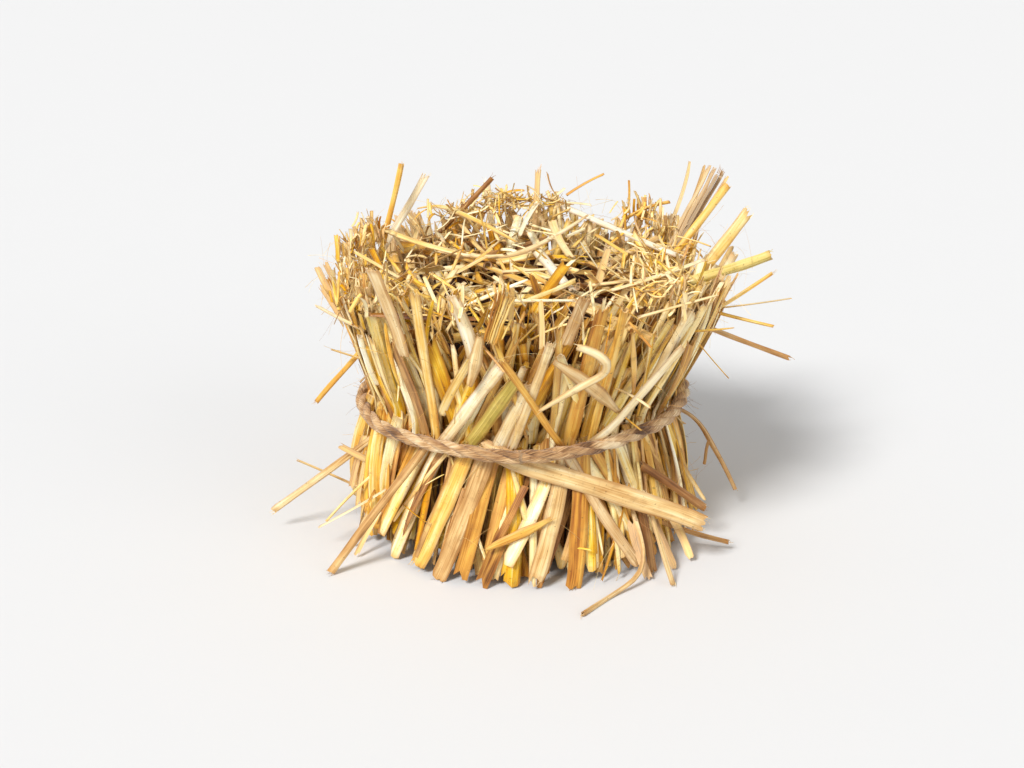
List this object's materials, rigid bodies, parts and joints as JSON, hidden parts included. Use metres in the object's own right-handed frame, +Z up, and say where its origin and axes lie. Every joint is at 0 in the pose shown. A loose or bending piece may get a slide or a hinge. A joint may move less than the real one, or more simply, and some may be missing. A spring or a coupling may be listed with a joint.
{
  "type": "tied straw bundle",
  "caption": "Short round bundle of cut golden straw standing on its cut ends, drawn in at the waist by one turn of jute twine, flaring to a ragged rim with loose straw on top.",
  "frame": {"origin": "middle of the flat foot that the cut ends make, on the surface it stands on", "axes": "+Z up along the stalks, -Y towards the side that the picture shows"},
  "size_m": [0.1536, 0.1296, 0.1044],
  "materials": {
    "straw_pale": "pale cream cut cereal straw, satin with fine lengthwise grain",
    "straw_gold": "golden cut cereal straw, satin with fine lengthwise grain",
    "straw_tan": "tan cut cereal straw, satin with fine lengthwise grain",
    "straw_brown": "weathered brown cut cereal straw, satin with fine lengthwise grain",
    "straw_green": "green-gold cut cereal straw, satin with fine lengthwise grain",
    "straw_packed": "packed straw with dark gaps",
    "jute_twine": "twisted jute fibre, matt and hairy"
  },
  "bodies": {
    "root": {"back_stalk_left": "straw_gold", "back_stalk_middle": "straw_pale", "back_stalk_right": "straw_tan", "lower_broad_gold": "straw_gold", "lower_broad_straw": "straw_pale", "lower_broad_tan": "straw_tan", "lower_brown_foot": "straw_brown", "lower_brown_slant": "straw_brown", "lower_gold_leaf": "straw_gold", "lower_left_culm": "straw_gold", "lower_left_stray": "straw_tan", "lower_orange": "straw_gold", "lower_pale_gold": "straw_pale", "lower_right_pale": "straw_pale", "lower_weathered": "straw_brown", "packed_straw": "straw_packed", "side_stalk_left": "straw_gold", "side_stalk_left_rear": "straw_tan", "side_stalk_right": "straw_gold", "side_stalk_right_rear": "straw_pale", "stray_brown_stem": "straw_brown", "stray_left_high": "straw_gold", "stray_left_low": "straw_pale", "stray_on_the_ground": "straw_tan", "stray_right_brown": "straw_brown", "stray_right_culm": "straw_green", "stray_right_flat": "straw_gold", "stray_right_foot": "straw_tan", "stray_right_rising": "straw_gold", "stray_tall_culm": "straw_gold", "stray_tall_split": "straw_tan", "stray_top_back": "straw_gold", "stray_top_dark": "straw_brown", "stray_top_left_culm": "straw_gold", "stray_top_left_pale": "straw_pale", "top_back_leaf": "straw_gold", "top_bent_ribbon": "straw_pale", "top_broad_white": "straw_pale", "top_gold_flat": "straw_gold", "top_short_culm": "straw_pale", "top_white_flat": "straw_pale", "twine": "jute_twine", "upper_broad_tan": "straw_tan", "upper_brown_cut": "straw_brown", "upper_curled_leaf": "straw_pale", "upper_gold_culm": "straw_gold", "upper_gold_left": "straw_gold", "upper_green_blade": "straw_green", "upper_long_culm": "straw_gold", "upper_long_gold": "straw_gold", "upper_pale_cut": "straw_pale", "upper_pale_leaf": "straw_pale", "upper_ribbon_foot": "straw_pale", "upper_right_culm": "straw_pale", "upper_short_pale": "straw_pale", "upper_slant_left": "straw_pale", "upper_slant_right": "straw_pale", "upper_split_tan": "straw_tan", "upper_tan_leaf": "straw_tan", "upper_thin_slant": "straw_gold"}
  },
  "joints": []
}
